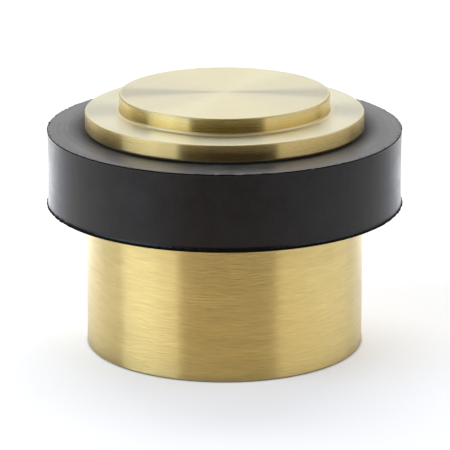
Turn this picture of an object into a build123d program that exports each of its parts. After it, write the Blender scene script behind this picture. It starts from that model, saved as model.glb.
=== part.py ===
from build123d import *
import math
import os

# Floor door stop: a turned brass body, a rubber bumper ring on its neck, a stepped brass cap
# and the set screw that holds the cap. Sizes are in millimetres. The origin is the centre of
# the underside, and +Z runs up the axis that all the pieces share.

# The body and the cap's flange are turned from the same bar, and their rims are broken alike
bar_diameter = 40.0
edge_break = 0.25

# Body
body_height = 20.7
neck_diameter = 20.0
neck_lead_in = 0.5

# Bumper ring, as it sits squeezed between the body's shoulder and the cap
ring_foot_diameter = 51.5
ring_top_diameter = 51.0
ring_thickness = 11.15
ring_wall_hollow = 0.15
ring_bore_clearance = 0.2

# Cap
flange_thickness = 2.65
disc_diameter = 30.2
disc_height = 2.5
disc_foot_fillet = 0.4
cap_skin = 1.1

# The neck stops short of the cap, so that the cap bears on the rubber and cannot work loose
clamp_gap = 0.3

# Set screw, M6 with a hexagon socket, screwed into the neck and the cap
screw_diameter = 6.0
screw_length = 12.0
screw_end_chamfer = 0.6
screw_socket_width = 3.0
screw_socket_depth = 3.5
screw_end_clearance = 0.2
screw_run_out = 2.0
thread_clearance = 0.05

# Tapped hole for the floor bolt, M8
fixing_diameter = 8.0
hole_mouth_chamfer = 0.6
hole_web = 3.0
drill_point_angle = 118.0

# Two edges closer than this are the same edge
same_place = 1e-6

# Heights that the pieces share
shoulder_z = body_height
cap_seat_z = shoulder_z + ring_thickness
neck_top_z = cap_seat_z - clamp_gap
flange_top_z = cap_seat_z + flange_thickness
cap_top_z = flange_top_z + disc_height
cap_hole_end_z = cap_top_z - cap_skin
screw_top_z = cap_hole_end_z - screw_end_clearance
screw_foot_z = screw_top_z - screw_length

# Radii that the pieces share
bar_radius = bar_diameter / 2
neck_radius = neck_diameter / 2
screw_hole_radius = screw_diameter / 2 + thread_clearance
fixing_radius = fixing_diameter / 2
ring_bore_radius = neck_radius + ring_bore_clearance


def drill_point(radius):
    """Height of the cone that a twist drill leaves at the end of a blind hole."""
    return radius / math.tan(math.radians(drill_point_angle / 2))


# The two blind holes in the body share its length and keep a web of metal between their points
neck_hole_end_z = screw_foot_z - screw_run_out
neck_hole_point_z = neck_hole_end_z - drill_point(screw_hole_radius)
fixing_point_z = neck_hole_point_z - hole_web
fixing_end_z = fixing_point_z - drill_point(fixing_radius)


def turned(*corners):
    """Turn a half profile about Z. Each corner is a radius and a height."""
    with BuildPart() as piece:
        with BuildSketch(Plane.XZ):
            with BuildLine():
                Polyline(*corners, close=True)
            make_face()
        revolve(axis=Axis.Z)
    return piece.part


def rims(piece, radius, *heights):
    """The circular edges of one radius at the given heights."""
    circles = piece.edges().filter_by(GeomType.CIRCLE)
    same_radius = [edge for edge in circles if abs(edge.radius - radius) < same_place]
    return [edge for edge in same_radius if min(abs(edge.arc_center.Z - z) for z in heights) < same_place]


def make_body():
    """Cylinder and neck in one piece, with a tapped hole in each end along the axis."""
    blank = turned(
        (0, 0),
        (bar_radius, 0),
        (bar_radius, shoulder_z),
        (neck_radius, shoulder_z),
        (neck_radius, neck_top_z),
        (0, neck_top_z),
    )
    blank = chamfer(rims(blank, bar_radius, 0, shoulder_z), edge_break)
    blank = chamfer(rims(blank, neck_radius, neck_top_z), neck_lead_in)
    fixing_hole = turned(
        (0, 0),
        (fixing_radius + hole_mouth_chamfer, 0),
        (fixing_radius, hole_mouth_chamfer),
        (fixing_radius, fixing_end_z),
        (0, fixing_point_z),
    )
    neck_hole = turned(
        (0, neck_top_z),
        (screw_hole_radius + hole_mouth_chamfer, neck_top_z),
        (screw_hole_radius, neck_top_z - hole_mouth_chamfer),
        (screw_hole_radius, neck_hole_end_z),
        (0, neck_hole_point_z),
    )
    return blank - fixing_hole - neck_hole


def make_ring():
    """Punched rubber ring. Its wall draws in between two sharp rims, and its foot is the wider one."""
    foot_radius = ring_foot_diameter / 2
    top_radius = ring_top_diameter / 2
    waist_radius = (foot_radius + top_radius) / 2 - ring_wall_hollow
    waist_z = (shoulder_z + cap_seat_z) / 2
    with BuildPart() as piece:
        with BuildSketch(Plane.XZ):
            with BuildLine():
                foot = Line((ring_bore_radius, shoulder_z), (foot_radius, shoulder_z))
                wall = ThreePointArc(foot @ 1, (waist_radius, waist_z), (top_radius, cap_seat_z))
                top = Line(wall @ 1, (ring_bore_radius, cap_seat_z))
                Line(top @ 1, foot @ 0)
            make_face()
        revolve(axis=Axis.Z)
    return piece.part


def make_cap():
    """Flange and disc turned in one piece, with a flat-ended tapped hole in the underside."""
    disc_radius = disc_diameter / 2
    blank = turned(
        (0, cap_seat_z),
        (bar_radius, cap_seat_z),
        (bar_radius, flange_top_z),
        (disc_radius, flange_top_z),
        (disc_radius, cap_top_z),
        (0, cap_top_z),
    )
    blank = fillet(rims(blank, disc_radius, flange_top_z), disc_foot_fillet)
    blank = chamfer(rims(blank, bar_radius, cap_seat_z, flange_top_z), edge_break)
    blank = chamfer(rims(blank, disc_radius, cap_top_z), edge_break)
    screw_hole = turned(
        (0, cap_seat_z),
        (screw_hole_radius + hole_mouth_chamfer, cap_seat_z),
        (screw_hole_radius, cap_seat_z + hole_mouth_chamfer),
        (screw_hole_radius, cap_hole_end_z),
        (0, cap_hole_end_z),
    )
    return blank - screw_hole


def make_set_screw():
    """Headless screw with chamfered ends and a hexagon socket in the end that goes into the cap."""
    screw_radius = screw_diameter / 2
    shank = turned(
        (0, screw_foot_z),
        (screw_radius, screw_foot_z),
        (screw_radius, screw_top_z),
        (0, screw_top_z),
    )
    shank = chamfer(rims(shank, screw_radius, screw_foot_z, screw_top_z), screw_end_chamfer)
    hexagon = RegularPolygon(screw_socket_width / 2, side_count=6, major_radius=False)
    socket = extrude(Plane.XY.offset(screw_top_z - screw_socket_depth) * hexagon, screw_socket_depth)
    return shank - socket


os.makedirs("parts", exist_ok=True)
export_step(make_body(), "parts/body.step")
export_step(make_ring(), "parts/bumper_ring.step")
export_step(make_cap(), "parts/cap.step")
export_step(make_set_screw(), "parts/set_screw.step")

print("fixing hole wall from", hole_mouth_chamfer, "to", round(fixing_end_z, 4), "radius", fixing_radius)
print("whole height", round(cap_top_z, 4))
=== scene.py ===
# %% [markdown]
# A floor door stop stands on the floor and keeps a door off the wall. This one has a turned brass
# body, a thick black rubber ring that takes the blow, and a stepped brass cap. Its shape is all
# turning, so its looks depend on one thing above all: fine marks that run round the axis.
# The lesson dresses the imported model: each piece is swept from a profile, finished, lit and framed.

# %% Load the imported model
import math

import bpy
import numpy as np
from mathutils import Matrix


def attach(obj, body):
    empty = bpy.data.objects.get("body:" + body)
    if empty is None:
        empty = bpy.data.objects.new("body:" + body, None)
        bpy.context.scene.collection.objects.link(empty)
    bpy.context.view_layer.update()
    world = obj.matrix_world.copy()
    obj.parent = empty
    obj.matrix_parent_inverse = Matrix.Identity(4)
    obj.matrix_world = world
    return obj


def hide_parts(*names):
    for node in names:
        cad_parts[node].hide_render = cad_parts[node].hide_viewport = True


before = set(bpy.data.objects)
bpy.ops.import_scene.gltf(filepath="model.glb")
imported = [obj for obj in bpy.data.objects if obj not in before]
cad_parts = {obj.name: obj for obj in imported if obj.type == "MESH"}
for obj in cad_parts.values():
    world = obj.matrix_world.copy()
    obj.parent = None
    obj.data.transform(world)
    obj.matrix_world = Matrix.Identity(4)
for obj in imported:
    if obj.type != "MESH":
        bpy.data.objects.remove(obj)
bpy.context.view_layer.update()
MM = 0.001
print("packed nodes:", sorted(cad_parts))

# %% [markdown]
# The camera stands in front of the stop, a little above it, with a long lens. A long lens far away
# keeps the rings' ellipses alike from top to bottom. The picture is square, and the aim is the
# middle of it, so the camera needs no shift.

# %% Camera
CAMERA_RISE = math.radians(16.61)
CAMERA_REACH = 456.0 * MM
AIM = (0.064 * MM, 0.0, 17.136 * MM)
SENSOR_WIDTH, LENS = 36.0, 251.8
NEAREST, FARTHEST = 0.01, 20.0

camera_data = bpy.data.cameras.new("camera")
camera_data.sensor_fit = "HORIZONTAL"
camera_data.sensor_width = SENSOR_WIDTH
camera_data.lens = LENS
camera_data.clip_start = NEAREST
camera_data.clip_end = FARTHEST
camera = bpy.data.objects.new("camera", camera_data)
camera.location = (
    AIM[0],
    AIM[1] - CAMERA_REACH * math.cos(CAMERA_RISE),
    AIM[2] + CAMERA_REACH * math.sin(CAMERA_RISE),
)
camera.rotation_euler = (math.pi / 2 - CAMERA_RISE, 0.0, 0.0)
bpy.context.scene.collection.objects.link(camera)
bpy.context.scene.camera = camera
print("camera at mm:", [round(c / MM, 1) for c in camera.location])

# %% [markdown]
# Every piece of the stop is a surface of two parameters: how far along the profile, and how far
# round the axis. A profile is a short list of corners, and a real turned corner is never a knife
# edge, so each corner gets an arc. Beside each arc stands a holding point, close by on the straight,
# which keeps the smooth shading of the arc off the flat beside it.

# %% Profiles with rounded corners
ARC_STEPS = 6
HOLD = 0.06


def rounded_profile(corners):
    """Half profile in mm. Each corner is (radius, height, rounding), and the two ends stay sharp.

    A rounded corner is the arc that touches both its straights: its tangent points lie
    rounding * tan(turn / 2) from the corner, and the arc is drawn as a quadratic blend
    bent to a circle by weighting the corner with cos(turn / 2).
    """
    spots = np.array([corner[:2] for corner in corners], float)
    pieces = [spots[:1]]
    for k in range(1, len(corners) - 1):
        rounding = corners[k][2]
        back = spots[k - 1] - spots[k]
        ahead = spots[k + 1] - spots[k]
        back_unit = back / np.linalg.norm(back)
        ahead_unit = ahead / np.linalg.norm(ahead)
        half_turn = (math.pi - math.acos(np.clip(back_unit @ ahead_unit, -1.0, 1.0))) / 2
        reach = rounding * math.tan(half_turn)
        first, last = spots[k] + reach * back_unit, spots[k] + reach * ahead_unit
        t = np.linspace(0.0, 1.0, ARC_STEPS + 1)[:, None]
        weight = math.cos(half_turn)
        blend = (1 - t) ** 2 * first + 2 * t * (1 - t) * weight * spots[k] + t**2 * last
        arc = blend / ((1 - t) ** 2 + 2 * t * (1 - t) * weight + t**2)
        pieces += [first + [HOLD * back_unit], arc, last + [HOLD * ahead_unit]]
    return np.concatenate(pieces + [spots[-1:]])


print("a rounded corner has", len(rounded_profile([(0, 0, 0), (1, 0, 0.1), (1, 1, 0)])) - 2, "points")

# %% [markdown]
# A mesh could be spun with a modifier, but a grid worked out at once with numpy lets the radius
# change round the axis too, which the ring's torn rim, the threads and the screw's six-sided
# socket all need. Where a profile starts or ends on the axis, one point closes the pole, and a
# profile that comes back to its start closes on itself.

# %% Swept surfaces
TURN = 2 * math.pi


def new_piece(name, points, faces):
    """An object at the origin, linked to the scene, with a mesh of the given points and faces."""
    mesh = bpy.data.meshes.new(name)
    mesh.from_pydata(points, [], faces)
    mesh.validate()
    mesh.update()
    piece = bpy.data.objects.new(name, mesh)
    bpy.context.scene.collection.objects.link(piece)
    print(name, len(mesh.vertices), "points", len(mesh.polygons), "faces")
    return piece


def angles(around):
    """The angles of the grid's columns, evenly spaced once round the axis."""
    return np.arange(around) * (TURN / around)


def swept(name, radius, height, loop=False, marks=None, finish=None):
    """Surface of revolution whose radius and height, in mm, are (along, around) arrays.

    A point is (radius cos a, radius sin a, height). With loop, the last row joins the first;
    without it, the first and last rows are points on the axis. marks are point attributes, and
    finish gives each band of faces between two rows the number of its material.
    """
    along, around = radius.shape
    turn = angles(around)
    grid = np.stack([radius * np.cos(turn), radius * np.sin(turn), height + 0 * turn], -1) * MM
    row = np.arange(along)[:, None] if loop else np.arange(1, along - 2)[:, None]
    column = np.arange(around)[None, :]
    here, there = row * around, (row + 1) % along * around
    aside = (column + 1) % around
    corners = np.broadcast_arrays(here + column, here + aside, there + aside, there + column)
    quads = np.stack(corners, -1).reshape(-1, 4)
    used = np.arange(along * around)
    faces = quads.tolist()
    if not loop:
        used = np.concatenate([used[:1], used[around : (along - 1) * around + 1]])
        number = np.searchsorted(used, np.arange(along * around))
        step, past = np.arange(around), (np.arange(around) + 1) % around
        last = (along - 2) * around
        foot = np.stack([0 * step, around + past, around + step], -1)
        head = np.stack([0 * step + last + around, last + step, last + past], -1)
        faces = number[quads].tolist() + number[np.concatenate([foot, head])].tolist()
    piece = new_piece(name, grid.reshape(-1, 3)[used].tolist(), faces)
    mesh = piece.data
    mesh.polygons.foreach_set("use_smooth", np.ones(len(mesh.polygons), bool))
    if finish is not None:
        order = finish if loop else np.concatenate([finish[1:-1], finish[[0, -1]]])
        mesh.polygons.foreach_set("material_index", np.repeat(order, around).astype(np.int32))
    for label, values in (marks or {}).items():
        layer = mesh.attributes.new(label, "FLOAT", "POINT")
        values = np.broadcast_to(values, radius.shape).reshape(-1)[used]
        layer.data.foreach_set("value", values.astype(np.float32))
    mesh.update()
    return piece


def turned(name, corners, around, finish_of):
    """A round piece: the rounded profile is the same at every angle.

    finish_of gives the number of the finish for the middle (radius, height) of each band.
    """
    profile = rounded_profile(corners)
    middle = (profile[1:] + profile[:-1]) / 2
    level = np.ones((1, around))
    finish = finish_of(middle[:, 0], middle[:, 1])
    return swept(name, profile[:, :1] * level, profile[:, 1:] * level, finish=finish)


print("a grid of 4 columns stands at", np.degrees(angles(4)).tolist(), "degrees")

# %% [markdown]
# The body is one piece of bar: a plain cylinder, a shoulder that carries the ring, and a neck that
# centres it. Its profile starts on the axis at the drill point of the floor bolt's hole, goes out
# over the underside, up the wall and the neck, and ends at the drill point of the set screw's hole.

# %% Body
BRASS_AROUND = 384
BAR = 20.0
SHOULDER = 20.7
CAP_SEAT = 31.85
NECK, NECK_TOP, NECK_LEAD_IN = 10.0, 31.55, 0.5
FIXING, FIXING_END, FIXING_POINT = 4.0, 14.464, 16.867
SCREW_HOLE, SCREW_HOLE_END, SCREW_HOLE_POINT = 3.05, 21.7, 19.867
HOLE_MOUTH = 0.6
FOOT_EDGE, SHOULDER_EDGE = 0.22, 0.25
DRILL_EDGE, MOUTH_EDGE, INNER_EDGE = 0.1, 0.08, 0.05
FILED_DEPTH, FILED_HEIGHT = 0.25, 0.2
NEAR_WALL = 0.1


def body_finish(radius, height):
    """Number of the body's finish: 0 is the brushed wall, 2 its two filed edges, and 1 all the rest."""
    at_end = np.abs(height - SHOULDER / 2) > SHOULDER / 2 - FILED_HEIGHT
    at_edge = (radius > BAR - FILED_DEPTH) & at_end
    return np.select([at_edge, radius > BAR - NEAR_WALL], [2, 0], 1)


body = turned(
    "body_brass",
    [
        (0, FIXING_POINT, 0),
        (FIXING, FIXING_END, DRILL_EDGE),
        (FIXING, HOLE_MOUTH, INNER_EDGE),
        (FIXING + HOLE_MOUTH, 0, MOUTH_EDGE),
        (BAR, 0, FOOT_EDGE),
        (BAR, SHOULDER, SHOULDER_EDGE),
        (NECK, SHOULDER, INNER_EDGE),
        (NECK, NECK_TOP, NECK_LEAD_IN),
        (SCREW_HOLE + HOLE_MOUTH, NECK_TOP, MOUTH_EDGE),
        (SCREW_HOLE, NECK_TOP - HOLE_MOUTH, INNER_EDGE),
        (SCREW_HOLE, SCREW_HOLE_END, DRILL_EDGE),
        (0, SCREW_HOLE_POINT, 0),
    ],
    BRASS_AROUND,
    body_finish,
)
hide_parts("body")
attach(body, "root")

# %% [markdown]
# A tap leaves a ridge that winds up the wall of the floor bolt's hole. It is a strip with a
# flat-topped V section, carried along a helix, and it fades into the wall at both ends, as the
# last turns of a tapped hole do.

# %% Thread in the underside
PITCH, CREST = 1.25, 3.32
THREAD_TURNS, THREAD_START = 10.4, 0.72
TURN_STEPS = 72
SUNK = 0.02


def thread_ridge(name, wall, crest, pitch, turns, start):
    """Ridge inside a hole: four section points carried along a helix of the given pitch, in mm.

    The section's crest stands off the wall by wall - crest times a fade, which climbs from
    almost nothing to one over the first and last three quarters of a turn.
    """
    wound = np.linspace(0.0, turns, int(turns * TURN_STEPS) + 1)[:, None]
    fade = np.clip(np.minimum(wound, turns - wound) / 0.75, 0.04, 1.0)
    depth = np.array([[0.0, 1.0, 1.0, 0.0]]) * (wall - crest) * fade
    rise = np.array([[-0.44, -0.125, 0.125, 0.44]]) * pitch
    radius = wall + SUNK - depth
    turn = TURN * wound
    grid = np.stack([radius * np.cos(turn), radius * np.sin(turn), start + pitch * wound + rise], -1) * MM
    steps = np.arange(len(wound) - 1)[:, None] * 4
    side = np.arange(4)[None, :]
    over = (side + 1) % 4
    corners = np.broadcast_arrays(steps + side, steps + over, steps + over + 4, steps + side + 4)
    quads = np.stack(corners, -1).reshape(-1, 4)
    ends = [[3, 2, 1, 0], [4 * len(wound) - k for k in (4, 3, 2, 1)]]
    return new_piece(name, grid.reshape(-1, 3).tolist(), quads.tolist() + ends)


ridge = thread_ridge("fixing_thread", FIXING, CREST, PITCH, THREAD_TURNS, THREAD_START)
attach(ridge, "root")

# %% [markdown]
# The bumper ring is cut from thick rubber sheet. A punch squeezes the sheet while it cuts, so the
# wall springs back a little hollow between its two rims, with faint ripples up the cut. Its rows of
# points stand closer together near the rims, where the torn lips need them.

# %% Bumper ring, its wall
RING_AROUND, WALL_ROWS = 1440, 43
RING_BORE = 10.2
FOOT_WALL, TOP_WALL = 25.46, 25.42
HOLLOW, RIPPLE = 0.06, 0.0025
RIM_GAP = 0.03


def ragged(grain, seed):
    """Noise round the axis: random waves up to RING_AROUND / grain periods, scaled to unit spread."""
    waves = np.fft.rfft(np.random.default_rng(seed).normal(size=RING_AROUND))
    count = np.arange(len(waves))
    noise = np.fft.irfft(waves * np.exp(-((count * grain / RING_AROUND) ** 2)), RING_AROUND)
    return noise / noise.std()


def fading(gap, width):
    """How much of an edge's effect is left at a given distance from it: one, falling smoothly."""
    return np.exp(-((gap / width) ** 2))


t = np.linspace(0.0, 1.0, WALL_ROWS)[:, None]
wall_height = SHOULDER + RIM_GAP + (CAP_SEAT - SHOULDER - 2 * RIM_GAP) * (3 * t**2 - 2 * t**3)
from_foot, from_top = wall_height - SHOULDER, CAP_SEAT - wall_height
share = from_foot / (CAP_SEAT - SHOULDER)
wall_radius = FOOT_WALL + (TOP_WALL - FOOT_WALL) * share - HOLLOW * 4 * share * (1 - share)
wall_radius = wall_radius + RIPPLE * ragged(11, 12) * (0.6 + 0.4 * np.cos(9 * share))
print("ring wall rows", len(t), "waist radius", round(float(wall_radius.min()), 3))

# %% [markdown]
# The lips come next. The foot flares where the blade came out of the sheet: its lip swells just above
# the foot and turns under again, with nicks along it and one bite torn out. The top keeps a thin lip
# with chips, and one tooth of rubber that the blade left. Such rims are too fine to cut by hand, so
# they are noises round the axis that push the rows near the rims in and out, up and down.

# %% Bumper ring, its torn rims
FLARE, FLARE_AT, FLARE_HEIGHT = 0.22, 0.22, 0.2
UNDERCUT, UNDERCUT_HEIGHT = 0.2, 0.13
LIP, LIP_HEIGHT = 0.05, 0.14
NICK_DEPTH, NICK_HEIGHT = 0.1, 0.3
CHIP_DEPTH, CHIP_HEIGHT, CHIP_WIDTH = 0.1, 0.2, 0.2
BITE_AT, BITE_WIDTH, BITE_RISE, BITE_DEPTH = math.radians(208.0), 0.45, 0.2, 0.8
TOOTH_AT, TOOTH_WIDTH, TOOTH_REACH = math.radians(174.0), 0.22, 0.14

turn = angles(RING_AROUND)
bite = fading((turn - BITE_AT) * FOOT_WALL, BITE_WIDTH)
tooth = fading((turn - TOOTH_AT) * TOP_WALL, TOOTH_WIDTH)
torn_foot = np.clip(FLARE + 0.045 * ragged(6, 3) + 0.02 * ragged(40, 4), 0.06, 0.28)
torn_foot = torn_foot * (1 - BITE_DEPTH * bite)
torn_top = np.clip(LIP + 0.02 * ragged(5, 5) + 0.015 * ragged(36, 6), 0.0, 0.12) + TOOTH_REACH * tooth
nicks = NICK_DEPTH * np.clip(ragged(9, 13) - 0.3, 0.0, 1.4)
chips = CHIP_DEPTH * np.clip(ragged(8, 7) - 0.8, 0.0, 1.2) + 0.02 * ragged(5, 8)
lip = torn_foot * fading(from_foot - FLARE_AT, FLARE_HEIGHT) - UNDERCUT * fading(from_foot, UNDERCUT_HEIGHT)
wall_radius = wall_radius + lip + fading(from_top, LIP_HEIGHT) * torn_top
lift = (BITE_RISE * bite + nicks) * fading(from_foot, NICK_HEIGHT)
wall_height = wall_height - chips * fading(from_top, CHIP_HEIGHT) + lift
print("widest foot", round(float(wall_radius.max()), 3), "deepest chip", round(float(chips.max()), 3))

# %% [markdown]
# The cap's flange squeezes the rubber, so the top face dips along the flange, stands a little proud
# beyond it, and rolls off toward the rim. That roll is what turns the rim light. The mark of torn rubber
# and painted shade says where the rubber is dull and blackened: along both rims and in the chips, where
# it is torn and, on the rims, also painted shade of the undercut lips, and close to the flange, where it
# is painted shade under the flange's edge.

# %% Bumper ring, its faces
SWELL, DIP, DIP_WIDTH = 0.07, 0.2, 0.6
ROLL, ROLL_FROM, ROLL_WIDTH = 0.09, 23.4, 2.0
BORE_EDGE, UNDER_FLANGE = 0.1, 0.3
DULL_AND_SHADED_FOOT, DULL_AND_SHADED_TOP, DULL_SWING = 0.5, 0.26, 0.1
DULL_CHIP, DULL_CHIP_WIDTH = 0.06, 0.25
# Painted shade under the flange's edge: how black the rubber is made there, and how far out it reaches.
FLANGE_SHADE, FLANGE_SHADE_WIDTH = 0.9, 1.8
CUT, SHEET, TORN = 0, 1, 2
TORN_FOOT, TORN_TOP = 0.4, 0.2

top_r = np.array(
    [25.37, 25.25, 25.0, 24.6, 24.1, 23.5, 22.6, 21.6, 21.1, 20.8, 20.5, 20.2, 20.0, 19.6, 19.0, 15.0]
)[:, None]
proud = SWELL - DIP * fading(top_r - BAR, DIP_WIDTH)
roll = ROLL * np.clip((top_r - ROLL_FROM) / ROLL_WIDTH, 0.0, 1.0) ** 2
chipped = chips * fading(TOP_WALL - top_r, CHIP_WIDTH)
top_height = np.where(top_r < BAR - UNDER_FLANGE, CAP_SEAT, CAP_SEAT + proud - roll - chipped)
foot_r = np.array([15.0, 20.1, 22.0, 24.0, 25.1, 25.35])[:, None]
bore_r = np.array([RING_BORE + BORE_EDGE, RING_BORE, RING_BORE, RING_BORE + BORE_EDGE])[:, None]
bore_z = np.array([CAP_SEAT, CAP_SEAT - BORE_EDGE, SHOULDER + BORE_EDGE, SHOULDER])[:, None]

level = np.ones((1, RING_AROUND))
ring_radius = np.concatenate([foot_r * level, wall_radius, top_r * level, bore_r * level])
ring_height = np.concatenate([SHOULDER + 0 * foot_r * level, wall_height, top_height, bore_z * level])
# Along both rims the blackening is torn rubber and also painted shade of the undercut lips.
ragged_top = fading(from_top, DULL_AND_SHADED_TOP + DULL_SWING * np.clip(ragged(7, 9), -1.0, 2.0))
torn_rims_and_shade = np.maximum(fading(from_foot, DULL_AND_SHADED_FOOT), ragged_top)
dull_chips = np.clip(chips / DULL_CHIP, 0.0, 1.0) * fading(TOP_WALL - top_r, DULL_CHIP_WIDTH)
# Painted shade: the rubber is blackened close to the flange, under its edge, besides the dull chips.
torn_chips_and_flange_shade = np.maximum(FLANGE_SHADE * fading(top_r - BAR, FLANGE_SHADE_WIDTH), dull_chips)
torn_and_shade = np.concatenate([0 * foot_r * level, torn_rims_and_shade, torn_chips_and_flange_shade, 0 * bore_r * level])
# The torn material hardly reflects; along the rims that also stands in as painted shade of the undercut
# lips.
wall_finish = np.where((from_foot < TORN_FOOT) | (from_top < TORN_TOP), TORN, CUT)
foot_finish, top_finish = np.full_like(foot_r, SHEET), np.full_like(top_r, SHEET)
foot_finish[-1] = TORN
finish = np.concatenate([foot_finish, wall_finish, top_finish, np.full_like(bore_r, CUT)])[:, 0]
ring = swept("bumper_rubber", ring_radius, ring_height, loop=True, marks={"torn_and_shade": torn_and_shade}, finish=finish)
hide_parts("bumper_ring")
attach(ring, "root")

# %% [markdown]
# The cap is turned in one piece: a flange as wide as the body, and a smaller disc on top of it. The
# tool's round nose leaves a small hollow at the disc's foot, and a file has taken the edges off. Those
# soft corners carry thin lines of light, so they are real arcs in the profile with a finish of their own.

# %% Cap
DISC = 15.1
FLANGE_TOP, CAP_TOP = 34.5, 37.0
CAP_HOLE_END = 35.9
SEAT_EDGE, FLANGE_EDGE, DISC_EDGE, DISC_FOOT = 0.38, 0.2, 0.28, 0.4


def cap_finish(radius, height):
    """Number of the cap's finish.

    0 is the flange's wall, 1 the disc's wall, 2 the top face, the seat and the hole, 3 the flange's
    face, and 4 the filed edges and the hollow at the disc's foot.
    """
    seat_edge = (radius > BAR - SEAT_EDGE) & (height < CAP_SEAT + SEAT_EDGE)
    flange_edge = (radius > BAR - FLANGE_EDGE) & (height > FLANGE_TOP - FLANGE_EDGE)
    disc_edge = (radius > DISC - DISC_EDGE) & (height > CAP_TOP - DISC_EDGE)
    beside_disc = (radius > DISC) & (radius < DISC + DISC_FOOT)
    over_flange = (height > FLANGE_TOP) & (height < FLANGE_TOP + DISC_FOOT)
    edge = seat_edge | flange_edge | disc_edge | (beside_disc & over_flange)
    flange_wall, disc_wall = radius > BAR - NEAR_WALL, height > FLANGE_TOP + NEAR_WALL
    top_or_inside = (height > CAP_TOP - NEAR_WALL) | (radius < DISC - NEAR_WALL)
    return np.select([edge, flange_wall, top_or_inside, disc_wall], [4, 0, 2, 1], 3)


cap = turned(
    "cap_brass",
    [
        (0, CAP_HOLE_END, 0),
        (SCREW_HOLE, CAP_HOLE_END, DRILL_EDGE),
        (SCREW_HOLE, CAP_SEAT + HOLE_MOUTH, INNER_EDGE),
        (SCREW_HOLE + HOLE_MOUTH, CAP_SEAT, MOUTH_EDGE),
        (BAR, CAP_SEAT, SEAT_EDGE),
        (BAR, FLANGE_TOP, FLANGE_EDGE),
        (DISC, FLANGE_TOP, DISC_FOOT),
        (DISC, CAP_TOP, DISC_EDGE),
        (0, CAP_TOP, 0),
    ],
    BRASS_AROUND,
    cap_finish,
)
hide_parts("cap")
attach(cap, "root")

# %% [markdown]
# Inside, a headless screw holds the cap to the body. Its thread is a wave of the radius that moves
# up one pitch for each turn, and its socket is a six-sided radius: the distance to a hexagon's side
# is the same everywhere, so the radius is that distance over the cosine of the angle to the side.

# %% Set screw
SCREW_AROUND, SCREW_ROWS = 96, 145
SCREW, SCREW_ROOT, SCREW_PITCH = 3.0, 2.42, 1.0
SCREW_FOOT, SCREW_TOP, SCREW_CHAMFER = 23.7, 35.7, 0.6
FLANK_SLOPE, CREST_FLAT = 1.35, 0.15
FOOT_RADIUS, RIM_RADIUS = 1.2, 2.1
SOCKET, SOCKET_DEPTH, SOCKET_POINT = 1.5, 3.5, 0.6
SOCKET_EDGE, SOCKET_DRAW = 0.05, 0.97
SIXTH = TURN / 6


def screw_grid():
    """Radius and height of the set screw: end faces, a threaded wall and a six-sided socket.

    On the wall the radius is the crest less the thread's depth times a triangle wave of
    (height / pitch - angle / one turn), and it never passes the chamfer cones at the two ends.
    """
    turn = angles(SCREW_AROUND)[None, :]
    z = np.linspace(SCREW_FOOT, SCREW_TOP, SCREW_ROWS)[:, None]
    wave = np.abs(((z - SCREW_FOOT) / SCREW_PITCH - turn / TURN) % 1.0 - 0.5) * 2
    thread = SCREW - (SCREW - SCREW_ROOT) * np.clip(wave * FLANK_SLOPE - CREST_FLAT, 0, 1)
    cone = SCREW - SCREW_CHAMFER + np.minimum(z - SCREW_FOOT, SCREW_TOP - z)
    wall = np.minimum(thread, cone)
    side = SOCKET / np.cos((turn + SIXTH / 2) % SIXTH - SIXTH / 2)
    level = np.ones((1, SCREW_AROUND))
    floor_z = SCREW_TOP - SOCKET_DEPTH
    radius = [0 * level, FOOT_RADIUS * level, wall, RIM_RADIUS * level]
    radius += [side + SOCKET_EDGE, side, side, side * SOCKET_DRAW, 0 * level]
    height = [SCREW_FOOT, SCREW_FOOT, z * level, SCREW_TOP]
    height += [SCREW_TOP, SCREW_TOP - SOCKET_EDGE, floor_z + SOCKET_EDGE, floor_z, floor_z - SOCKET_POINT]
    return np.concatenate(radius), np.concatenate([h * level for h in height])


screw = swept("set_screw_steel", *screw_grid())
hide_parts("set_screw")
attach(screw, "root")

# %% [markdown]
# The finishes are all made of nodes, so a few short helpers come first: one sets a node up, one does
# sums, one splits a place into its coordinates, one blends two colours and one lays colours along a
# value. Shared effects are node groups, which give out only values.

# %% Node helpers
BLEND_SHARE, BLEND_UNDER, BLEND_OVER, BLEND_RESULT = 0, 6, 7, 2


def add_node(tree, kind, settings=None, **inputs):
    """A new node with its settings and its unlinked input values set by socket name."""
    node = tree.nodes.new(kind)
    for key, value in (settings or {}).items():
        setattr(node, key, value)
    for key, value in inputs.items():
        node.inputs[key.replace("_", " ")].default_value = value
    return node


def math_node(tree, operation, first, second=None, third=None, clamp=False):
    """A Math node: each of its inputs is a socket to link or a number to set. Gives its output."""
    node = add_node(tree, "ShaderNodeMath", {"operation": operation, "use_clamp": clamp})
    for slot, value in zip(node.inputs, (first, second, third)):
        if isinstance(value, bpy.types.NodeSocket):
            tree.links.new(value, slot)
        elif value is not None:
            slot.default_value = value
    return node.outputs[0]


def product(tree, first, *factors):
    """The product of several values, each a socket or a number."""
    for factor in factors:
        first = math_node(tree, "MULTIPLY", first, factor)
    return first


def object_place(tree):
    """The Texture Coordinate node, and x, y and z of a point in the object's own frame."""
    place = tree.nodes.new("ShaderNodeTexCoord")
    split = tree.nodes.new("ShaderNodeSeparateXYZ")
    tree.links.new(place.outputs["Object"], split.inputs[0])
    return place, *split.outputs


def from_axis(tree, x, y):
    """How far a point lies from the axis: the root of x squared plus y squared."""
    squares = math_node(tree, "ADD", product(tree, x, x), product(tree, y, y))
    return math_node(tree, "SQRT", squares)


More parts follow.
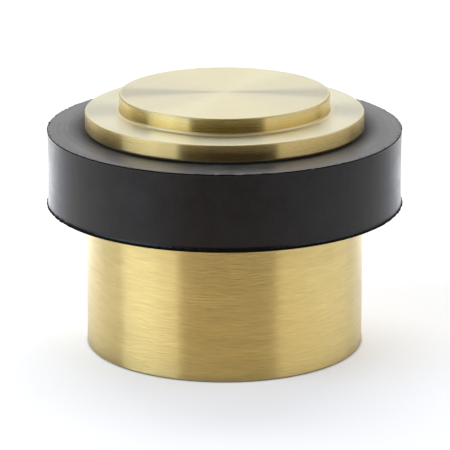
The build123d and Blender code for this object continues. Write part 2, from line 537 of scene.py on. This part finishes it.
def blended(tree, blend, share, under, over):
    """Two colours blended by a share, which is a socket. Each colour is a socket or (r, g, b)."""
    node = add_node(tree, "ShaderNodeMix", {"data_type": "RGBA", "blend_type": blend})
    tree.links.new(share, node.inputs[BLEND_SHARE])
    for slot, value in ((BLEND_UNDER, under), (BLEND_OVER, over)):
        if isinstance(value, bpy.types.NodeSocket):
            tree.links.new(value, node.inputs[slot])
        else:
            node.inputs[slot].default_value = (*value, 1.0)
    return node.outputs[BLEND_RESULT]


def ramp(tree, socket, stops):
    """A colour ramp over a value: stops are (position, (r, g, b))."""
    node = tree.nodes.new("ShaderNodeValToRGB")
    while len(node.color_ramp.elements) < len(stops):
        node.color_ramp.elements.new(0.5)
    for element, (position, colour) in zip(node.color_ramp.elements, stops):
        element.position = position
        element.color = (*colour, 1.0)
    tree.links.new(socket, node.inputs[0])
    return node.outputs[0]


def new_group(name, inputs, outputs):
    """A shader node group with float inputs {name: default} and float outputs."""
    group = bpy.data.node_groups.new(name, "ShaderNodeTree")
    for label, default in inputs.items():
        socket = group.interface.new_socket(label, in_out="INPUT", socket_type="NodeSocketFloat")
        socket.default_value = default
    for label in outputs:
        group.interface.new_socket(label, in_out="OUTPUT", socket_type="NodeSocketFloat")
    return group, group.nodes.new("NodeGroupInput"), group.nodes.new("NodeGroupOutput")


def place_group(tree, group, **values):
    """A group placed in a material or world, with its own values. Gives the placed node."""
    node = tree.nodes.new("ShaderNodeGroup")
    node.node_tree = group
    for key, value in values.items():
        node.inputs[key].default_value = value
    return node


def new_material(name):
    """A material with nodes. Gives the material, its node tree and its Principled shader."""
    material = bpy.data.materials.new(name)
    material.use_nodes = True
    return material, material.node_tree, material.node_tree.nodes["Principled BSDF"]


print("node helpers are ready")

# %% [markdown]
# The finish of turned brass is thousands of fine marks round the axis. They are noise, stretched:
# slow along x and y, so that a mark runs on round the piece, and fast along a third direction that
# counts height on a wall and radius on a face. One group makes them for walls, faces and corners. It
# gives soft streaks, which flow into each other, and strokes, which stand in rows like the separate
# scratches of a brush: the third direction is cut into rows, each row has a noise of its own, and
# the value runs straight from one row to the next.

# %% Turning marks group
RADIUS_SHARE = 0.83
ROW_STEP = 7.31
MARK_ROUGHNESS = 0.6

marks_group, marks_in, marks_out = new_group(
    "turning_marks",
    {"Length": 120.0, "Density": 9000.0, "Detail": 3.0, "Shift": 0.0},
    ("Streaks", "Strokes"),
)
_, x, y, z = object_place(marks_group)
length, density, detail, shift = marks_in.outputs[:4]


def stretched_noise(tree, third):
    """Noise at (x length, y length, third)."""
    join = tree.nodes.new("ShaderNodeCombineXYZ")
    for slot, value in zip(join.inputs, (product(tree, x, length), product(tree, y, length), third)):
        tree.links.new(value, slot)
    noise = add_node(tree, "ShaderNodeTexNoise", Scale=1.0, Roughness=MARK_ROUGHNESS)
    tree.links.new(join.outputs[0], noise.inputs["Vector"])
    tree.links.new(detail, noise.inputs["Detail"])
    return noise.outputs[0]


reach = product(marks_group, from_axis(marks_group, x, y), RADIUS_SHARE)
across = math_node(marks_group, "SUBTRACT", z, reach)
fast = math_node(marks_group, "MULTIPLY_ADD", across, density, shift)
row = math_node(marks_group, "FLOOR", fast)
past_row = math_node(marks_group, "SUBTRACT", fast, row)
here = stretched_noise(marks_group, product(marks_group, row, ROW_STEP))
above = stretched_noise(marks_group, math_node(marks_group, "MULTIPLY_ADD", row, ROW_STEP, ROW_STEP))
climb = math_node(marks_group, "SUBTRACT", above, here)
strokes = math_node(marks_group, "MULTIPLY_ADD", climb, past_row, here)
marks_group.links.new(stretched_noise(marks_group, fast), marks_out.inputs["Streaks"])
marks_group.links.new(strokes, marks_out.inputs["Strokes"])
print("group", marks_group.name, "has", len(marks_group.nodes), "nodes")

# %% [markdown]
# Brushed metal doesn't blur a reflection evenly: along the marks it stays sharp, across them it
# smears. So the light on the walls stands in upright bands with clear edges, and on the faces it
# fans out from the middle. The Principled shader does this with its Anisotropic value and a
# tangent, the direction of the smear, which is square to both the surface and the marks. The wall
# of the disc is also painted browner toward its foot, a painted shade for the corner at the flange.

# %% Brass helpers
# Painted shade: the brown that darkens the disc's wall toward its foot.
FOOT_SHADE_BROWN = (0.76, 0.66, 0.5)


def smear_direction(tree):
    """Across the turning marks: the normal crossed with the direction round the axis, (-y, x, 0)."""
    place, x, y, _ = object_place(tree)
    round_axis = tree.nodes.new("ShaderNodeCombineXYZ")
    tree.links.new(product(tree, y, -1.0), round_axis.inputs[0])
    tree.links.new(x, round_axis.inputs[1])
    cross = add_node(tree, "ShaderNodeVectorMath", {"operation": "CROSS_PRODUCT"})
    tree.links.new(place.outputs["Normal"], cross.inputs[0])
    tree.links.new(round_axis.outputs[0], cross.inputs[1])
    unit = add_node(tree, "ShaderNodeVectorMath", {"operation": "NORMALIZE"})
    tree.links.new(cross.outputs[0], unit.inputs[0])
    return unit.outputs[0]


def painted_foot_shade(tree, colour, start, end):
    """Painted brown shade, strongest in a corner at height start and gone at height end, in metres."""
    *_, z = object_place(tree)
    fade = add_node(tree, "ShaderNodeMapRange", From_Min=start, From_Max=end, To_Min=1.0, To_Max=0.0)
    tree.links.new(z, fade.inputs["Value"])
    return blended(tree, "MULTIPLY", fade.outputs[0], colour, FOOT_SHADE_BROWN)


# The painted foot shade is a brown that multiplies the brass.
print("tarnish multiplies brass by", FOOT_SHADE_BROWN)

# %% [markdown]
# One function makes every brushed metal here. Dashes, and finer lines between them, give the relief.
# Broad streaks give the slow change from one part of a wall to the next. Colour and roughness follow
# the same marks, because a deeper scratch is both darker and duller. A thin clear lacquer lies over
# the body's wall and the two top faces.

# %% Brushed metal
TONE_SPAN = (0.3, 0.7)
LACQUER_INDEX = 1.5
DASH_SHARE, FINE_SHARE = 0.65, 0.35
LINE_SHARE, BROAD_SHARE = 0.7, 0.3
MARK_LAYERS = [
    # Times as many along and across as the dashes, detail, shift: dashes, fine lines, broad streaks
    (1.0, 1.0, 1.0, 0.0),
    (0.6, 1.7, 1.0, 3.1),
    (0.3, 0.12, 2.0, 7.3),
]


def brushed_metal(
    name, tones, roughness, marks, depth, lacquer=0.0, anisotropic=1.0, foot_shade=None, swing=0.15
):
    """Metal with brush marks: colour, roughness and height all follow the same streaks.

    marks are how many dashes a metre holds along them and across them, depth is their height, and
    swing is how far they change the roughness. lacquer is the lacquer's roughness, and 0 is none.
    The foot shade argument gives the two heights between which the painted shade in a corner fades out.
    """
    material, tree, shader = new_material(name)
    shader.inputs["Metallic"].default_value = 1.0
    shader.inputs["Anisotropic"].default_value = anisotropic
    shader.inputs["Coat Weight"].default_value = 1.0 if lacquer else 0.0
    shader.inputs["Coat Roughness"].default_value = lacquer
    shader.inputs["Coat IOR"].default_value = LACQUER_INDEX
    length, density = marks
    layers = []
    for along, across, detail, shift in MARK_LAYERS:
        values = {"Length": length * along, "Density": density * across, "Detail": detail, "Shift": shift}
        layers.append(place_group(tree, marks_group, **values))
    dash, fine, broad = layers
    lines = product(tree, dash.outputs["Strokes"], DASH_SHARE)
    lines = math_node(tree, "MULTIPLY_ADD", fine.outputs["Strokes"], FINE_SHARE, lines)
    mixed = product(tree, lines, LINE_SHARE)
    mixed = math_node(tree, "MULTIPLY_ADD", broad.outputs["Streaks"], BROAD_SHARE, mixed)
    colour = ramp(tree, mixed, list(zip(TONE_SPAN, tones)))
    # Painted shade: the colour browns toward the corner at the disc's foot.
    if foot_shade:
        colour = painted_foot_shade(tree, colour, *foot_shade)
    tree.links.new(colour, shader.inputs["Base Color"])
    rough = math_node(tree, "MULTIPLY_ADD", mixed, -swing, roughness + swing / 2)
    tree.links.new(rough, shader.inputs["Roughness"])
    relief = add_node(tree, "ShaderNodeBump", Strength=1.0, Distance=depth)
    tree.links.new(lines, relief.inputs["Height"])
    tree.links.new(relief.outputs[0], shader.inputs["Normal"])
    tree.links.new(smear_direction(tree), shader.inputs["Tangent"])
    print(name, "has", len(tree.nodes), "nodes")
    return material


# %% [markdown]
# The parts of the stop were brushed by different tools. The body has short deep dashes, the flange's
# wall longer shallow ones, and the disc the finest. The two top faces were turned, so their marks run
# on far round the axis. They are pale from the lacquer and from tones painted paler than the walls',
# a painted sheen. The filed edges have no direction at all.

# %% Brass
WALL = (0.76, 0.59, 0.225), (0.92, 0.73, 0.285)
DISC_WALL = (0.8, 0.63, 0.245), (0.89, 0.705, 0.28)
FLANGE_WALL = (0.84, 0.63, 0.245), (0.935, 0.705, 0.28)
EDGE = (0.68, 0.57, 0.31), (0.75, 0.64, 0.36)
# Painted sheen: both faces' tones are paler than the walls' brass.
DISC_FACE = (0.62, 0.557, 0.335), (0.67, 0.605, 0.38)
FLANGE_FACE = (0.65, 0.6, 0.4), (0.71, 0.66, 0.46)
FOOT_SHADE_HEIGHTS = (34.9 * MM, 36.2 * MM)

wall_brass = brushed_metal("brushed_brass_wall", WALL, 0.32, (400.0, 6000.0), 7.5e-5, lacquer=0.5)
flange_brass = brushed_metal("coarse_brass_wall", FLANGE_WALL, 0.28, (150.0, 5000.0), 1.2e-5)
disc_brass = brushed_metal("fine_brass_wall", DISC_WALL, 0.27, (120.0, 7000.0), 4e-6, foot_shade=FOOT_SHADE_HEIGHTS)
face_brass = brushed_metal("turned_brass_face", DISC_FACE, 0.285, (40.0, 2300.0), 7e-6, 0.6, swing=0.03)
ledge_brass = brushed_metal("coarse_brass_face", FLANGE_FACE, 0.31, (50.0, 2000.0), 4e-5, 0.6, swing=0.1)
corner_brass = brushed_metal("burnished_brass_corner", EDGE, 0.46, (150.0, 7000.0), 0.0, anisotropic=0.0)
for material in (wall_brass, face_brass, corner_brass):
    body.data.materials.append(material)
for material in (flange_brass, disc_brass, face_brass, ledge_brass, corner_brass):
    cap.data.materials.append(material)
ridge.data.materials.append(face_brass)

# %% [markdown]
# The rubber is black, but what the eye sees of it is mostly a dull reflection, weak in front and
# strong at a glancing angle. Its skin has a fine grain and a cloudy bloom. The cut wall is smooth from
# the blade, the sheet's face is duller and greyer, and the torn rims are open and hardly reflect, which
# also stands in as painted shade for their undercut lips, so the three have materials of their own.
# The mark of torn rubber and painted shade dulls and blackens the rubber by degrees.

# %% Rubber
GRAIN_SCALE, CLOUD_SCALE = 6000.0, 300.0
GRAIN_SWING, CLOUD_SWING = 0.12, 0.14
SKIN_STRENGTH, SKIN_DEPTH = 0.25, 0.02 * MM
TORN_AND_SHADE_BLACK = (0.001, 0.001, 0.001)
SHEEN_TINT = (1.0, 0.965, 0.965, 1.0)


def black_rubber(name, tones, index, roughness, scuffs, dulling):
    """Black rubber: a cloudy colour, a grain in roughness and height, and dull torn rims and painted shade.

    scuffs is how far marks round the axis change the roughness, and dulling is how much the
    mark of torn rubber and painted shade adds to it.
    """
    material, tree, shader = new_material(name)
    place, *_ = object_place(tree)
    grain = add_node(tree, "ShaderNodeTexNoise", Scale=GRAIN_SCALE, Detail=3.0, Roughness=0.6)
    cloud = add_node(tree, "ShaderNodeTexNoise", Scale=CLOUD_SCALE, Detail=3.0, Roughness=0.6)
    tree.links.new(place.outputs["Object"], grain.inputs["Vector"])
    tree.links.new(place.outputs["Object"], cloud.inputs["Vector"])
    torn_and_shade_mark = add_node(tree, "ShaderNodeAttribute", {"attribute_name": "torn_and_shade"}).outputs["Fac"]
    bloom = ramp(tree, cloud.outputs[0], list(zip(TONE_SPAN, tones)))
    # The mark blackens the colour: torn rubber, and painted shade under the flange and along the rims.
    tree.links.new(blended(tree, "MIX", torn_and_shade_mark, bloom, TORN_AND_SHADE_BLACK), shader.inputs["Base Color"])
    shader.inputs["IOR"].default_value = index
    shader.inputs["Specular Tint"].default_value = SHEEN_TINT
    scuff = place_group(tree, marks_group, Length=60.0, Density=1500.0, Detail=3.0)
    level = roughness - (GRAIN_SWING + CLOUD_SWING + scuffs) / 2
    dull = math_node(tree, "MULTIPLY_ADD", grain.outputs[0], GRAIN_SWING, level)
    dull = math_node(tree, "MULTIPLY_ADD", cloud.outputs[0], CLOUD_SWING, dull)
    dull = math_node(tree, "MULTIPLY_ADD", scuff.outputs["Streaks"], scuffs, dull)
    dull = math_node(tree, "MULTIPLY_ADD", torn_and_shade_mark, dulling, dull, clamp=True)
    tree.links.new(dull, shader.inputs["Roughness"])
    skin = add_node(tree, "ShaderNodeBump", Strength=SKIN_STRENGTH, Distance=SKIN_DEPTH)
    tree.links.new(grain.outputs[0], skin.inputs["Height"])
    tree.links.new(skin.outputs[0], shader.inputs["Normal"])
    print(name, "has", len(tree.nodes), "nodes")
    return material


CUT_TONES = (0.001, 0.0006, 0.0016), (0.011, 0.0098, 0.0118)
SHEET_TONES = (0.018, 0.018, 0.019), (0.068, 0.068, 0.069)
TORN_TONES = (0.005, 0.004, 0.0035), (0.012, 0.01, 0.009)
cut_rubber = black_rubber("cut_rubber_wall", CUT_TONES, 1.46, 0.3, scuffs=0.08, dulling=0.0)
sheet_rubber = black_rubber("rubber_sheet_face", SHEET_TONES, 1.72, 0.38, scuffs=0.25, dulling=0.4)
torn_rubber = black_rubber("torn_rubber_edge", TORN_TONES, 1.18, 0.6, scuffs=0.1, dulling=0.0)
for material in (cut_rubber, sheet_rubber, torn_rubber):
    ring.data.materials.append(material)

# %% [markdown]
# The set screw is plain bright steel, rolled and not polished. It shows only when the stop is taken
# apart, and the same brushed metal serves for it, with grey tones and a smear half as strong.

# %% Steel
STEEL = (0.5, 0.5, 0.51), (0.6, 0.6, 0.61)
steel = brushed_metal("bright_steel", STEEL, 0.32, (300.0, 4000.0), 1e-5, anisotropic=0.5)
screw.data.materials.append(steel)

# %% [markdown]
# The stop stands on a white table that ends 16 cm in front of it. The table is one flat sheet, and
# it belongs to the stage.

# %% Table
TABLE_REACH, TABLE_END = 3.0, 0.16

table_corners = np.array([[-1, 0, 0], [1, 0, 0], [1, 1, 0], [-1, 1, 0]], float) * TABLE_REACH
table_corners[:2, 1] = -TABLE_END
floor = new_piece("floor", table_corners.tolist(), [[0, 1, 2, 3]])

# %% [markdown]
# The table is plain diffuse white, with a glow of its own that lights nothing. The camera sees just
# enough of that glow for a white ground that keeps the shadow. The glow is made weak in the joint under
# the body, a painted contact shadow, and it falls a little to the right, away from the window, a painted
# shade.

# %% Table, as the camera sees it
TABLE_WHITE, TABLE_GLOW = 0.88, 0.41
MIRROR_SHADE = 0.3
# Painted contact shadow under the body, and painted shade toward the right, on the camera's glow.
PAINTED_CONTACT_SHADOW = [(0.02, 0.3), (0.0203, 1.0)]
PAINTED_SIDE_SHADE = [(-0.03, 1.0), (0.03, 0.88)]


def spread(tree, value, start, end, stops):
    """A colour ramp over a length: the value runs from start to end in metres, with the given stops."""
    node = add_node(tree, "ShaderNodeMapRange", From_Min=start, From_Max=end)
    tree.links.new(value, node.inputs["Value"])
    return ramp(tree, node.outputs[0], [((at - start) / (end - start), colour) for at, colour in stops])


def spread_grey(tree, value, start, end, stops):
    """The same with a plain number at each stop."""
    return spread(tree, value, start, end, [(at, (level, level, level)) for at, level in stops])


white_table, tree, shader = new_material("white_table")
tree.nodes.remove(shader)
_, x, y, _ = object_place(tree)
reach = from_axis(tree, x, y)
path = tree.nodes.new("ShaderNodeLightPath")
camera_ray, mirror_ray = path.outputs["Is Camera Ray"], path.outputs["Is Glossy Ray"]

plain = tree.nodes.new("ShaderNodeBsdfDiffuse")
white = math_node(tree, "MULTIPLY_ADD", mirror_ray, -MIRROR_SHADE, TABLE_WHITE)
tree.links.new(white, plain.inputs["Color"])
# Painted contact shadow and painted side shade for the glow the camera sees.
contact_shadow = spread_grey(tree, reach, 0.0, 0.03, PAINTED_CONTACT_SHADOW)
side_shade = spread_grey(tree, x, -0.1, 0.1, PAINTED_SIDE_SHADE)
glow = add_node(tree, "ShaderNodeEmission", Color=(1.0, 1.0, 1.0, 1.0))
tree.links.new(product(tree, camera_ray, TABLE_GLOW, contact_shadow, side_shade), glow.inputs["Strength"])
print("the camera sees a glow of", TABLE_GLOW)

# %% [markdown]
# The brass and the rubber mirror a painted table: a glow that only mirror rays see and that lights
# nothing, a painted reflection. It is painted dim and warm in front, as a painted bounce of the body's
# own colour, bright and cooler behind, toward the light, and brighter to the left than to the right.
# It is painted darker where it meets the body, a painted contact shadow, and far away, at the horizon.

# %% Table, as the stop mirrors it
# Painted reflection: the glow's strength, its painted warm bounce and its painted contact shadow.
MIRROR_GAIN = 2.45
SIDE_LAG = 0.4
PAINTED_BOUNCE_WARMTH = (1.0, 0.71, 0.22)
TABLE_TONES = [
    (-0.128, (0.15, 0.115, 0.07)),
    (-0.108, (0.26, 0.245, 0.22)),
    (-0.075, (0.42, 0.405, 0.38)),
    (-0.045, (0.42, 0.405, 0.38)),
    (-0.012, (0.44, 0.43, 0.4)),
    (0.012, (0.48, 0.5, 0.56)),
    (0.036, (0.86, 0.88, 0.96)),
    (0.055, (1.42, 1.42, 1.42)),
]
PAINTED_CONTACT_SHADE = [(0.02, 0.05), (0.0204, 0.3), (0.0225, 0.85), (0.05, 1.0)]
HORIZON = [(0.1, 1.0), (0.135, 0.5), (0.22, 0.3), (0.29, 0.04)]
SIDEWAYS = [(-0.1, 0.92), (-0.06, 0.69), (-0.012, 0.39), (0.02, 0.38), (0.08, 0.48)]
NEAR = [(0.035, 1.0), (0.06, 0.0)]
IN_FRONT = [(-0.03, 1.0), (-0.012, 0.0)]

# Painted contact shadow where the mirrored table meets the body.
mirrored_contact_shade = spread_grey(tree, reach, 0.0, 0.05, PAINTED_CONTACT_SHADE)
horizon = spread_grey(tree, reach, 0.0, 0.3, HORIZON)
sideways = spread_grey(tree, x, -0.1, 0.1, SIDEWAYS)
strength = product(tree, mirrored_contact_shade, horizon, sideways, MIRROR_GAIN)
aside = math_node(tree, "ABSOLUTE", x)
behind = math_node(tree, "MULTIPLY_ADD", aside, -SIDE_LAG, y)
near = spread_grey(tree, aside, 0.0, 0.1, NEAR)
in_front = spread_grey(tree, y, -0.1, 0.1, IN_FRONT)
tones = spread(tree, behind, -0.13, 0.15, TABLE_TONES)
painted_reflection = tree.nodes.new("ShaderNodeEmission")
warmed = blended(tree, "MULTIPLY", product(tree, near, in_front), tones, PAINTED_BOUNCE_WARMTH)
tree.links.new(warmed, painted_reflection.inputs["Color"])
tree.links.new(product(tree, mirror_ray, strength), painted_reflection.inputs["Strength"])

surface = plain.outputs[0]
for light in (glow, painted_reflection):
    both = tree.nodes.new("ShaderNodeAddShader")
    tree.links.new(surface, both.inputs[0])
    tree.links.new(light.outputs[0], both.inputs[1])
    surface = both.outputs[0]
tree.links.new(surface, tree.nodes["Material Output"].inputs["Surface"])
floor.data.materials.append(white_table)
print(white_table.name, "has", len(tree.nodes), "nodes")

# %% [markdown]
# Polished things show the room. This room is dark, with pale panels round it, and the camera stands in
# the dark between a window and a reflector, which is the dark band down the middle of the stop. One
# group makes the mask of a panel, soft at its edges, from the bearing and the height of the direction
# looked in.

# %% Panel group
PANEL_SHAPE = ("Bearing", "Half_Width", "Edge", "Bottom", "Top", "Fade")

panel_group, panel_in, panel_out = new_group(
    "studio_panel", dict(zip(PANEL_SHAPE, (0.0, 30.0, 3.0, -90.0, 30.0, 8.0))), ("Mask",)
)
tree = panel_group
bearing, half_width, side_edge, bottom, top, fade = panel_in.outputs[: len(PANEL_SHAPE)]
look = tree.nodes.new("ShaderNodeTexCoord")
split = tree.nodes.new("ShaderNodeSeparateXYZ")
tree.links.new(look.outputs["Generated"], split.inputs[0])
toward_camera = product(tree, split.outputs[1], -1.0)
compass = math_node(tree, "DEGREES", math_node(tree, "ARCTAN2", split.outputs[0], toward_camera))
height = math_node(tree, "DEGREES", math_node(tree, "ARCSINE", split.outputs[2]))


def soft_step(tree, value, place, softness):
    """Zero below place less softness, one above place plus softness, and smooth between."""
    node = add_node(tree, "ShaderNodeMapRange", {"interpolation_type": "SMOOTHSTEP"})
    tree.links.new(value, node.inputs["Value"])
    tree.links.new(math_node(tree, "SUBTRACT", place, softness), node.inputs["From Min"])
    tree.links.new(math_node(tree, "ADD", place, softness), node.inputs["From Max"])
    return node.outputs[0]


aside = math_node(tree, "WRAP", math_node(tree, "SUBTRACT", compass, bearing), 180.0, -180.0)
beyond = soft_step(tree, math_node(tree, "ABSOLUTE", aside), half_width, side_edge)
above_bottom = soft_step(tree, height, bottom, fade)
above_top = soft_step(tree, height, top, fade)
within_sides = math_node(tree, "SUBTRACT", 1.0, beyond)
within_height = math_node(tree, "SUBTRACT", above_bottom, above_top)
tree.links.new(product(tree, within_sides, within_height), panel_out.inputs["Mask"])
print("group", panel_group.name, "has", len(tree.nodes), "nodes")

# %% [markdown]
# Each panel has a bearing from the stop, counted in degrees from the camera and negative to its left.
# The walls of the stop mirror window and curtain on the left and the reflector on the right. The faces
# mirror the wall behind, with a dim rail across it that draws the dark line over the disc. The softbox
# over that wall throws the shadow to the front, and the ceiling fills in from above.

# %% Studio
PANELS = [
    # Name, colour, bearing, half width, softness of the sides, bottom, top, softness of both ends
    ("window", (1.68, 1.93, 2.4), -73.5, 17.5, 1.2, -90.0, 52.0, 12.0),
    ("curtain", (1.34, 1.5, 1.85), -47.0, 9.0, 1.2, -90.0, 48.0, 10.0),
    ("reflector", (0.99, 0.99, 1.06), 82.8, 39.2, 1.2, -90.0, 52.0, 10.0),
    ("left ceiling", (0.35, 0.37, 0.4), -108.0, 20.0, 4.0, 26.0, 60.0, 8.0),
    ("front", (0.015, 0.012, 0.007), 0.0, 40.0, 4.0, -90.0, 40.0, 10.0),
    ("sheer", (0.05, 0.042, 0.03), -26.0, 11.0, 6.0, -90.0, 40.0, 10.0),
    ("front ceiling", (0.1, 0.085, 0.06), 0.0, 50.0, 8.0, 30.0, 68.0, 6.0),
    ("low wall", (1.4, 1.4, 1.4), 180.0, 24.0, 5.0, 0.0, 12.2, 0.6),
    ("rail", (0.22, 0.22, 0.22), 180.0, 30.0, 6.0, 12.2, 16.5, 0.6),
    ("wall", (1.36, 1.36, 1.36), -175.0, 50.0, 5.0, 16.5, 45.0, 0.6),
    ("left corner", (0.75, 0.75, 0.75), -139.0, 12.0, 3.0, 4.0, 16.8, 1.0),
    ("right corner", (0.45, 0.45, 0.45), 139.0, 12.0, 3.0, 4.0, 16.8, 1.0),
    ("softbox", (2.2, 2.25, 2.3), -178.0, 44.0, 4.0, 45.0, 70.0, 5.0),
    ("ceiling", (0.7, 0.7, 0.7), 0.0, 181.0, 0.5, 66.0, 120.0, 8.0),
]

world = bpy.data.worlds.new("studio")
bpy.context.scene.world = world
world.use_nodes = True
tree = world.node_tree
room = None
for label, colour, *shape in PANELS:
    panel = place_group(tree, panel_group, **dict(zip(PANEL_SHAPE, shape)))
    panel.label = label
    lamp = add_node(tree, "ShaderNodeVectorMath", {"operation": "SCALE"})
    lamp.inputs[0].default_value = colour
    tree.links.new(panel.outputs["Mask"], lamp.inputs["Scale"])
    if room is None:
        room = lamp.outputs[0]
    else:
        total = add_node(tree, "ShaderNodeVectorMath", {"operation": "ADD"})
        tree.links.new(room, total.inputs[0])
        tree.links.new(lamp.outputs[0], total.inputs[1])
        room = total.outputs[0]
print("studio has", len(PANELS), "panels")

# %% [markdown]
# The camera itself sees no room, only plain white, so the picture's background is white without any
# more light on the stop. The Standard view shows each colour about as it is written.

# %% White background
WHITE = (1.0, 1.0, 1.0)

path = tree.nodes.new("ShaderNodeLightPath")
background = tree.nodes["Background"]
seen = blended(tree, "MIX", path.outputs["Is Camera Ray"], room, WHITE)
tree.links.new(seen, background.inputs["Color"])
background.inputs["Strength"].default_value = 1.0
bpy.context.scene.view_settings.view_transform = "Standard"
print("world", world.name, "has", len(tree.nodes), "nodes")
